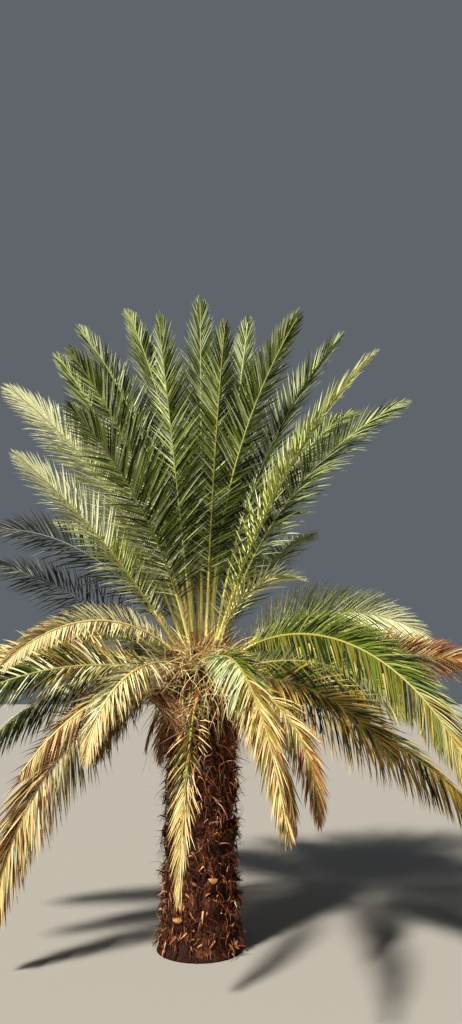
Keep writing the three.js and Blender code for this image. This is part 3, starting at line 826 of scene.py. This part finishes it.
def bark_material(name, dark, middle, light, grain, roughness):
    """Fibrous bark: streaks that run up the trunk, in three colours, with relief."""
    material, nodes, links, shader = new_material(name, MATT)
    shader.inputs["Roughness"].default_value = roughness
    form = BARK_GRAIN
    place = nodes.new("ShaderNodeTexCoord")
    stretch = add_node(nodes, "ShaderNodeMapping", Scale=form.stretch)
    streaks = add_node(
        nodes, "ShaderNodeTexNoise", Scale=grain, Detail=form.detail, Roughness=form.roughness)
    patches = add_node(nodes, "ShaderNodeTexNoise", Scale=grain / form.patches, Detail=form.patch_detail)
    both = nodes.new("ShaderNodeMath")
    both.operation = "MULTIPLY_ADD"
    both.inputs[1].default_value = form.patch_share
    ramp = nodes.new("ShaderNodeValToRGB")
    low, between, high = form.ramp
    ramp.color_ramp.elements[0].position = low
    ramp.color_ramp.elements[0].color = screen_colour(dark)
    ramp.color_ramp.elements[1].position = high
    ramp.color_ramp.elements[1].color = screen_colour(light)
    ramp.color_ramp.elements.new(between).color = screen_colour(middle)
    relief = add_node(nodes, "ShaderNodeBump", Strength=form.relief, Distance=form.relief_height)
    links.new(place.outputs["Object"], stretch.inputs["Vector"])
    links.new(stretch.outputs["Vector"], streaks.inputs["Vector"])
    links.new(place.outputs["Object"], patches.inputs["Vector"])
    links.new(patches.outputs["Fac"], both.inputs[0])
    links.new(streaks.outputs["Fac"], both.inputs[2])
    links.new(both.outputs["Value"], ramp.inputs["Fac"])
    links.new(ramp.outputs["Color"], shader.inputs["Base Color"])
    links.new(streaks.outputs["Fac"], relief.inputs["Height"])
    links.new(relief.outputs["Normal"], shader.inputs["Normal"])
    return material


def make_materials():
    made = {}
    for name, colour in COLOURS.items():
        is_matt = name.endswith(("brown", "rust", "red"))
        made[name] = plain_material(name, colour, LEAF_ROUGHNESS, LEAF_GRAIN, MATT if is_matt else WAXY)
    for name, (colour, roughness) in STRANDS.items():
        made[name] = plain_material(name, colour, roughness, STRAND_GRAIN)
    for name, bark in BARKS.items():
        made[name] = bark_material(name, *bark)
    return made


def rough_radius(turn, z):
    """Small uneven relief on the shaft, which closes on itself round the trunk."""
    waves = sum(
        size * np.sin(a * turn + b * z + c) * np.sin(d * turn + e * z + f)
        for size, (a, b, c), (d, e, f) in SHAFT_WAVES
    )
    return SHAFT.relief * waves


def make_shaft():
    """The trunk under its leaf bases, from the flat cut at the ground to the growing tip."""
    columns, rows = SHAFT.columns, SHAFT.rows
    turn = np.linspace(0, 2 * math.pi, columns, endpoint=False)
    z = np.linspace(0, CROWN_TOP - CROWN_HEART, rows)
    turns, heights = np.meshgrid(turn, z)
    relief = rough_radius(turns, heights) * np.minimum(1, heights / SHAFT.rough_by)
    radius = np.maximum(trunk_radius(heights) - SHAFT.sink + relief, SHAFT.thinnest)
    points = np.stack([radius * np.cos(turns), radius * np.sin(turns), heights], axis=-1).reshape(-1, 3)
    faces = ring_faces(rows, columns)
    faces.append(tuple(reversed(range(columns))))
    faces.append(tuple(range((rows - 1) * columns, rows * columns)))
    pile = Pile()
    pile.add(points[None], faces, ["shaft"] * len(faces))
    piece = pile.object("trunk_shaft", "trunk")
    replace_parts(piece, "trunk")


def add_boot(pile, azimuth, foot_z, height, wide, lip, cut, rng):
    """One old leaf base: a shield that leans out of the trunk, narrower at its ragged cut top."""
    form = BOOT_FORM
    columns, rows = form.columns, form.rows
    u, v = np.meshgrid(np.linspace(-1, 1, columns), np.linspace(0, 1, rows))
    ragged = wander(rng, form.ragged, columns)
    z = foot_z + height * (v * (1 - form.rounded * u**2 * v) + ragged[None, :] * v**3)
    z = np.maximum(z, form.lowest)
    radius = trunk_radius(z)
    half = wide / 2 * mix(1.0, form.top_width, v**form.narrowing)
    turn = math.radians(azimuth) + u * half / radius + wander(rng, form.askew) * v
    bulge = lip * v**form.lip_power * (1 - form.less_at_side * u**2) * (1 + wander(rng, form.lopsided) * u)
    start = rng.uniform(0, form.groove_start)
    grooves = form.groove * np.sin(u * form.grooves + start) * v + rng.normal(0, form.grain, u.shape)
    swollen = form.thick * (1 - u**4) * np.minimum(1, v * form.swelling)
    front = radius - form.thick + bulge + swollen + grooves
    inner = radius[-1] - form.inner
    inner_z = z[-1] - form.inner_drop - form.inner_drop_of_lip * lip
    points = np.stack([front * np.cos(turn), front * np.sin(turn), z], axis=-1).reshape(-1, 3)
    back = np.stack([inner * np.cos(turn[-1]), inner * np.sin(turn[-1]), inner_z], axis=-1)
    faces = []
    for i in range(rows):
        for k in range(columns - 1):
            a = i * columns + k
            faces.append((a, a + 1, a + 1 + columns, a + columns))
    top = columns - 1
    colours = ["boot"] * (len(faces) - top) + ["boot_cut" if cut else "boot"] * top
    pile.add(np.vstack([points, back])[None], faces, colours)
    return points[(rows - 1) * columns + 1 : rows * columns - 1]


def add_stump(pile, azimuth, z, lean, length, half_width, height, colours, rng):
    """A cut stalk that stands out of the trunk: flat on top, rounded below, with a ragged cut end.
    Colours are those of its sides and its end."""
    form = STUMP_FORM
    turn = math.radians(azimuth)
    outward = np.array([math.cos(turn), math.sin(turn), 0])
    side = np.array([-math.sin(turn), math.cos(turn), 0])
    along = outward * math.sin(math.radians(lean)) + UP * math.cos(math.radians(lean))
    upper = np.cross(along, side)
    foot = outward * (float(trunk_radius(z)) - form.sunk) + UP * z
    share = np.linspace(form.root, 1, form.sections)
    size = mix(*form.sizes, np.clip(share, 0, 1)) * rng.uniform(*form.size_play, form.sections)
    across, over = flat_topped(form.flat)
    points = (
        foot
        + along * (share * length)[:, None, None]
        + side * (across * (half_width * size)[:, None])[..., None]
        + upper * (over * (height * size)[:, None])[..., None]
    )
    points[-1] += along * wander(rng, form.ragged, RIB_SIDES)[:, None]
    faces = ring_faces(form.sections, RIB_SIDES)
    colour, end_colour = colours
    names = [colour] * len(faces) + [end_colour]
    start = (form.sections - 1) * RIB_SIDES
    faces.append(tuple(range(start, start + RIB_SIDES)))
    pile.add(points.reshape(1, -1, 3), faces, names)


def make_boots(rng):
    """The old leaf bases and the stumps of cut stalks. Returns where their ragged edges are."""
    pile = Pile()
    edges = []
    rows = int((BOOTS_TO + BOOT_PLAY.beyond - BOOTS_FROM) / BOOT_PITCH) + 1
    for row in range(-1, rows):
        for column in range(BOOT_COLUMNS):
            z = BOOTS_FROM + row * BOOT_PITCH + (BOOT_PITCH / 2 if column % 2 else 0)
            z += wander(rng, BOOT_PLAY.z)
            missing = rng.uniform() < BOOTS_MISSING
            if z < BOOT_PLAY.lowest or missing:
                continue
            azimuth = 360 / BOOT_COLUMNS * column + wander(rng, BOOT_PLAY.turn)
            even_width = 2 * math.pi * float(trunk_radius(z)) / BOOT_COLUMNS
            wide = even_width * rng.uniform(*BOOT_PLAY.width)
            height = BOOT_PITCH * rng.uniform(*BOOT_PLAY.height)
            lip = BOOT_LIP * rng.uniform(*BOOT_PLAY.lip)
            cut = rng.uniform() < BOOT_PLAY.cut
            edges.append(add_boot(pile, azimuth, z, height, wide, lip, cut, rng))
    for azimuth, z, length in STUMPS:
        colours = ("boot", "boot_cut")
        add_stump(pile, azimuth, z, STUMP_LEAN, length, STUMP_HALF_WIDTH, STUMP_HEIGHT, colours, rng)
    piece = pile.object("trunk_leaf_bases", "trunk")
    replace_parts(piece, "trunk")
    return np.concatenate(edges)


def make_stubs(rng):
    """Dry stubs of fallen fronds that fill the crown's base, from cut ends to the living stalks."""
    pile = Pile()
    for i in range(STUBS.count):
        share = (i + 0.5) / STUBS.count
        lean = mix(*STUBS.lean, share) + wander(rng, STUBS.lean_play)
        length = mix(*STUBS.length, share) * rng.uniform(*STUBS.length_play)
        half_width = mix(*STUBS.half_width, share)
        height = half_width * STUBS.flatness
        sides = STUBS.colours[: STUBS.low_colours] if share < 0.5 else STUBS.colours
        colours = (sides[i % len(sides)], STUBS.end_colours[i % len(STUBS.end_colours)])
        z = mix(*STUBS.z, share)
        add_stump(pile, STUBS.turn * i, z, lean, length, half_width, height, colours, rng)
    piece = pile.object("trunk_stubs", "trunk")
    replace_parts(piece, "trunk")


def add_strands(pile, foot, direction, length, width, sag, curl, colours, rng):
    """Thin ribbons of fibre that leave their feet, curl and sag."""
    copies, steps = len(foot), STRAND.steps
    point = foot
    now = unit(direction)
    twist = unit(rng.normal(0, 1, (copies, 3)))
    edges = []
    for i in range(steps):
        across = unit(np.cross(now, twist) + 1e-6)
        half = (width * (1 - STRAND.narrows * i / (steps - 1)) / 2)[:, None]
        edges += [point - across * half, point + across * half]
        now = unit(now + np.cross(now, twist) * curl[:, None] - UP * (sag / steps)[:, None])
        point = point + now * (length / (steps - 1))[:, None]
    points = np.stack(edges, axis=1)
    faces = [(2 * i, 2 * i + 1, 2 * i + 3, 2 * i + 2) for i in range(steps - 1)]
    chosen = rng.choice(colours, copies).tolist()
    pile.add(points, faces, [chosen] * len(faces))


def add_fibre(pile, rows, colours, rng):
    """The strands of a table of fibre, spread evenly round the trunk."""
    for count, low, high, short, long, thin, wide, out, sag, curl, rise in rows:
        turn = rng.uniform(0, 2 * math.pi, count)
        z = rng.uniform(low, high, count)
        radius = trunk_radius(z) + rng.uniform(0, out, count)
        outward = np.stack([np.cos(turn), np.sin(turn), np.zeros(count)], axis=-1)
        level = np.stack([-np.sin(turn), np.cos(turn), np.zeros(count)], axis=-1)
        foot = outward * radius[:, None] + UP * z[:, None]
        direction = (
            outward * rng.uniform(*STRAND.outward, count)[:, None]
            + level * rng.normal(0, STRAND.sideways, count)[:, None]
            + UP * rng.normal(rise, STRAND.up, count)[:, None]
        )
        to_ground = np.maximum(z - STRAND.ground, STRAND.ground)
        length = np.minimum(rng.uniform(short, long, count), to_ground)
        width = rng.uniform(thin, wide, count)
        sags = sag * rng.uniform(*STRAND.sag, count)
        curls = rng.normal(0, curl, count)
        add_strands(pile, foot, direction, length, width, sags, curls, colours, rng)


def make_fibre(edges, rng):
    """Loose fibre all over the trunk, longest under the crown, and a fringe on the old leaf bases."""
    pile = Pile()
    add_fibre(pile, FIBRE, FIBRE_COLOURS, rng)
    add_fibre(pile, SPLINTERS, SPLINTER_COLOURS, rng)
    feet = np.repeat(edges, FRINGE.strands, axis=0)
    feet = feet + rng.normal(0, FRINGE.scatter, feet.shape)
    feet = feet[feet[:, 2] > FRINGE.lowest]
    count = len(feet)
    outward = unit(feet * np.array([1, 1, 0]))
    upward = UP * rng.uniform(*FRINGE.up, count)[:, None]
    direction = outward * FRINGE.outward + upward + rng.normal(0, FRINGE.stray, (count, 3))
    length = rng.uniform(*FRINGE.length, count)
    width = rng.uniform(*FRINGE.width, count)
    sags = rng.uniform(*FRINGE.sag, count)
    curls = rng.normal(0, FRINGE.curl, count)
    add_strands(pile, feet, direction, length, width, sags, curls, FIBRE_COLOURS, rng)
    piece = pile.object("trunk_fibre", "trunk", smooth=False)
    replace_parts(piece, "trunk")


def make_tangle(rng):
    """Dry leaflets caught between the feet of the fronds."""
    pile = Pile()
    add_fibre(pile, TANGLE, TANGLE_COLOURS, rng)
    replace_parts(pile.object("trunk_dry_leaflets", "trunk", smooth=False), "trunk")


def make_brush(rng):
    """A bunch of dry strings that hangs from a short stem and narrows downwards."""
    pile = Pile()
    count = BRUSH.strings
    foot, end, low = np.array(BRUSH.foot), np.array(BRUSH.end), np.array(BRUSH.low)
    share = rng.uniform(*BRUSH.from_stem, count) ** BRUSH.towards_end
    feet = foot + (end - foot) * share[:, None] + rng.normal(0, BRUSH.scatter, (count, 3))
    way = low + rng.normal(0, BRUSH.low_scatter, (count, 3)) - feet
    length = np.linalg.norm(way, axis=1) * rng.uniform(*BRUSH.length, count)
    width = rng.uniform(*BRUSH.width, count)
    curls = rng.normal(0, BRUSH.curl, count)
    sags = np.full(count, BRUSH.sag)
    add_strands(pile, feet, way + UP * BRUSH.rise, length, width, sags, curls, BRUSH.colours, rng)
    piece = pile.object("trunk_dry_flower_stalk", "trunk", smooth=False)
    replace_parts(piece, "trunk")


def make_fronds(rng):
    """Leaflets, ribs and spines, joined by the age of the fronds."""
    fronds = list_fronds()
    for tier in TIERS:
        nodes = [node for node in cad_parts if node.startswith(tier.name)]
        leaflets, ribs, spines = Pile(), Pile(), Pile()
        for frond in fronds:
            if frond.name != tier.name:
                continue
            add_leaflets(leaflets, frond, rng)
            add_rib(ribs, frond, rng)
            add_spines(spines, frond, rng)
        for kind, pile in (("leaflets", leaflets), ("ribs", ribs), ("spines", spines)):
            if pile.count:
                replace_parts(pile.object(f"{tier.name}_{kind}", tier.name, smooth=kind == "ribs"), *nodes)


def make_camera():
    camera = bpy.data.objects.new("camera", bpy.data.cameras.new("camera"))
    camera.location = CAMERA_PLACE
    camera.rotation_euler = (math.radians(90 + CAMERA_PITCH), 0, 0)
    camera.data.sensor_width = SENSOR
    camera.data.lens = CAMERA_FOCAL_PIXELS / IMAGE_HEIGHT * SENSOR
    bpy.context.collection.objects.link(camera)
    bpy.context.scene.camera = camera


def make_studio():
    """A pale floor, a faint sky and a sun."""
    floor_mesh = bpy.data.meshes.new("floor")
    size = FLOOR_HALF
    corners = [(-size, -size, 0), (size, -size, 0), (size, size, 0), (-size, size, 0)]
    floor_mesh.from_pydata(corners, [], [(0, 1, 2, 3)])
    floor = bpy.data.objects.new("floor", floor_mesh)
    floor_mesh.materials.append(plain_material("floor", FLOOR_COLOUR, FLOOR_ROUGHNESS, FLOOR_GRAIN))
    bpy.context.collection.objects.link(floor)

    world = bpy.data.worlds.new("studio")
    bpy.context.scene.world = world
    world.use_nodes = True
    sky = world.node_tree.nodes["Background"].inputs
    sky["Color"].default_value = SKY_COLOUR
    sky["Strength"].default_value = SKY_STRENGTH

    sun = bpy.data.objects.new("key", bpy.data.lights.new("key", "SUN"))
    sun.data.energy = SUN_STRENGTH
    sun.data.angle = math.radians(SUN_SPREAD)
    sun.data.color = SUN_COLOUR
    sun.rotation_euler = [math.radians(degrees) for degrees in SUN_TURN]
    bpy.context.collection.objects.link(sun)


MATERIALS = make_materials()
chance = np.random.default_rng(SEED)
make_camera()
make_studio()
make_shaft()
boot_edges = make_boots(chance)
make_stubs(chance)
make_fibre(boot_edges, chance)
make_tangle(chance)
make_brush(chance)
make_fronds(chance)

bpy.context.scene.view_settings.view_transform = "Standard"
